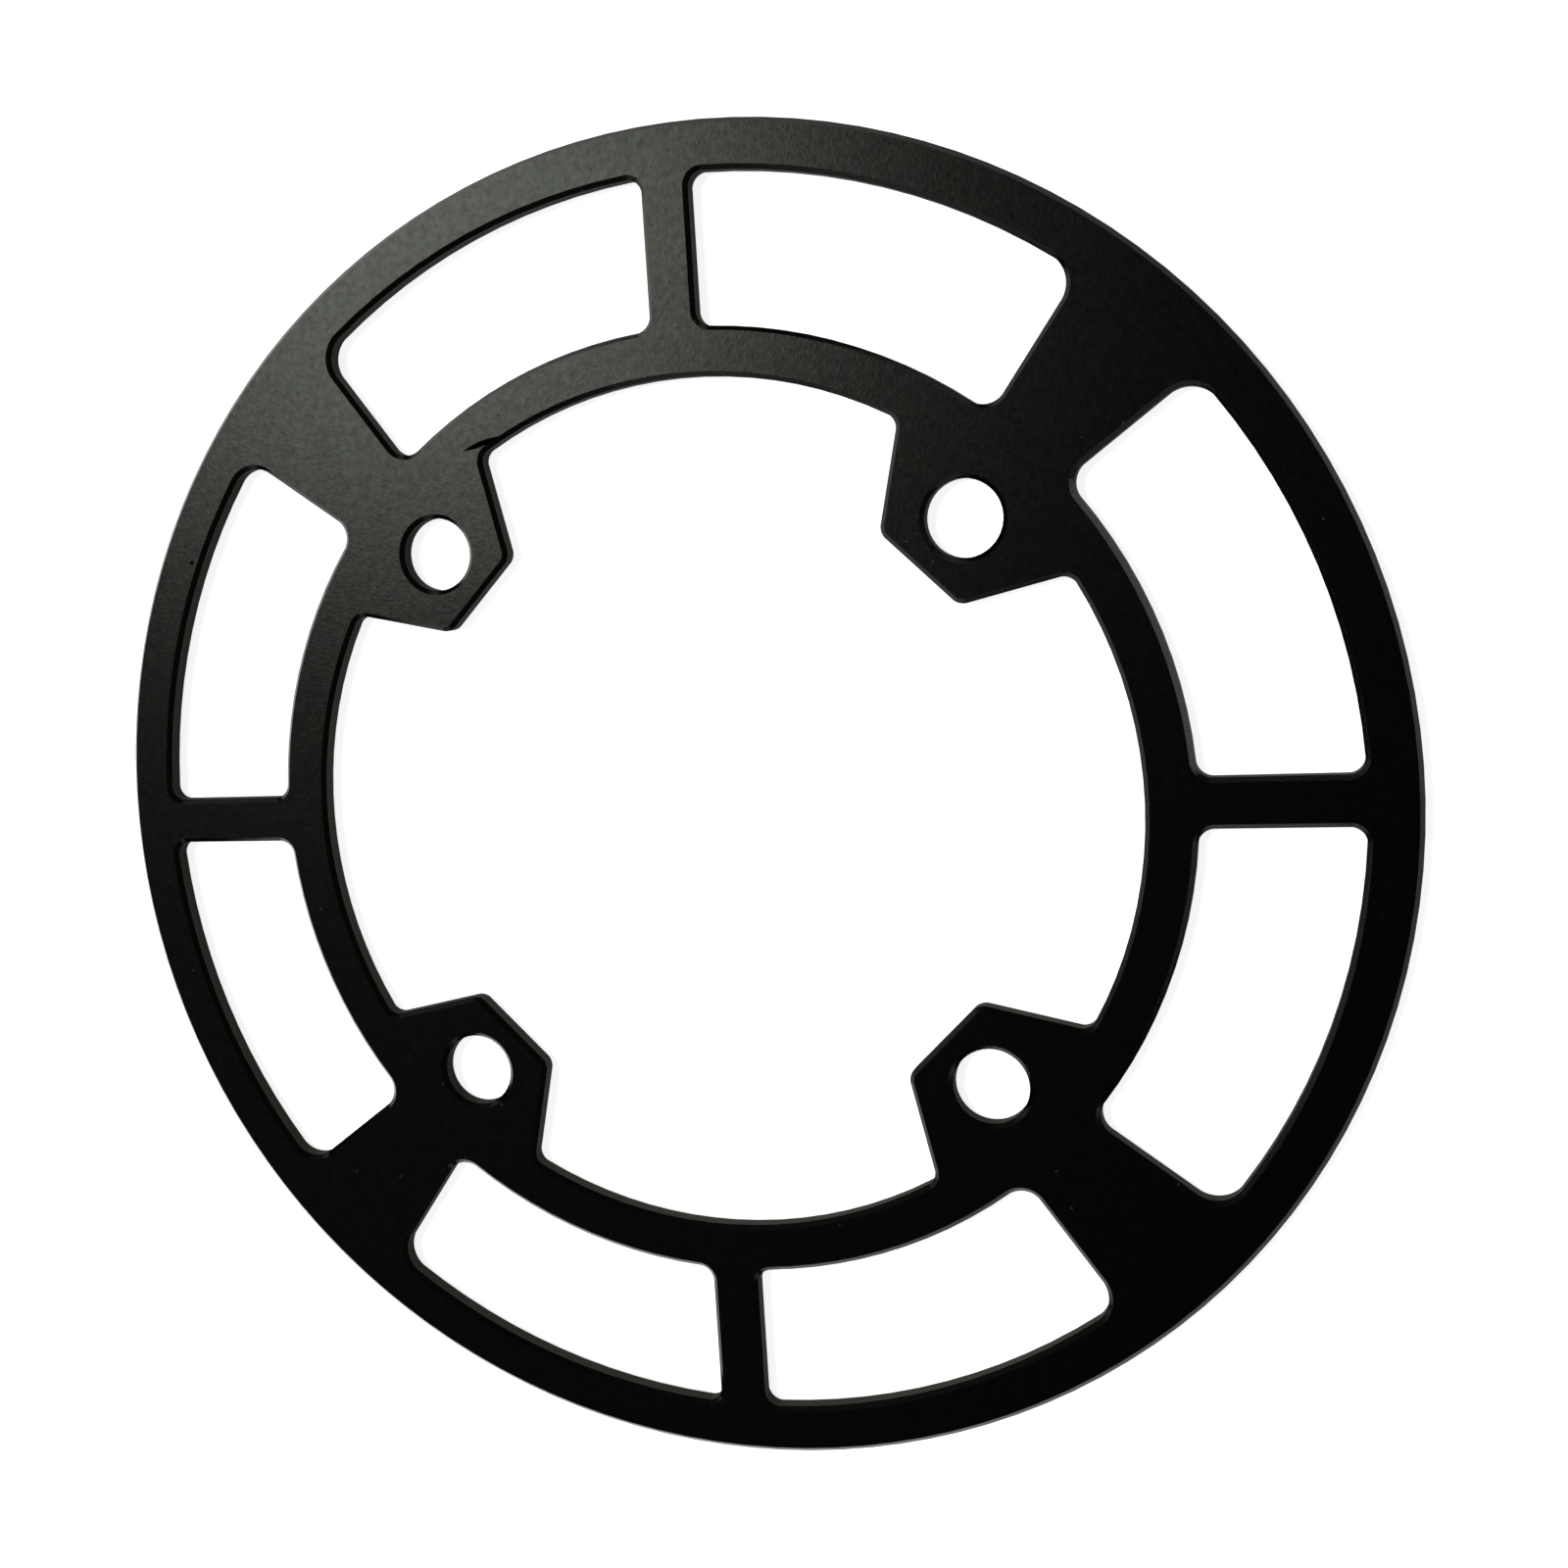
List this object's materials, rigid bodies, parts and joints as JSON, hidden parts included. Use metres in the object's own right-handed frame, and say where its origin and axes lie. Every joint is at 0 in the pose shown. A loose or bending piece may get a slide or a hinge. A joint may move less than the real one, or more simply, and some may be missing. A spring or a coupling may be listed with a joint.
{
  "type": "chainring guard",
  "caption": "Flat black ring plate with windows and bolt ears, bolted outside a bicycle chainring to shield it and the chain.",
  "frame": {"origin": "centre of the ring, on its back face, which it lies on", "axes": "+Z out of the front face; +X and +Y along the plain spokes, with the four bolt ears on the diagonals"},
  "size_m": [0.18, 0.18, 0.0032],
  "materials": {
    "black_anodised": "bead-blasted and black anodised, matt with a fine grain"
  },
  "bodies": {
    "root": {"guard_plate": "black_anodised"}
  },
  "joints": []
}
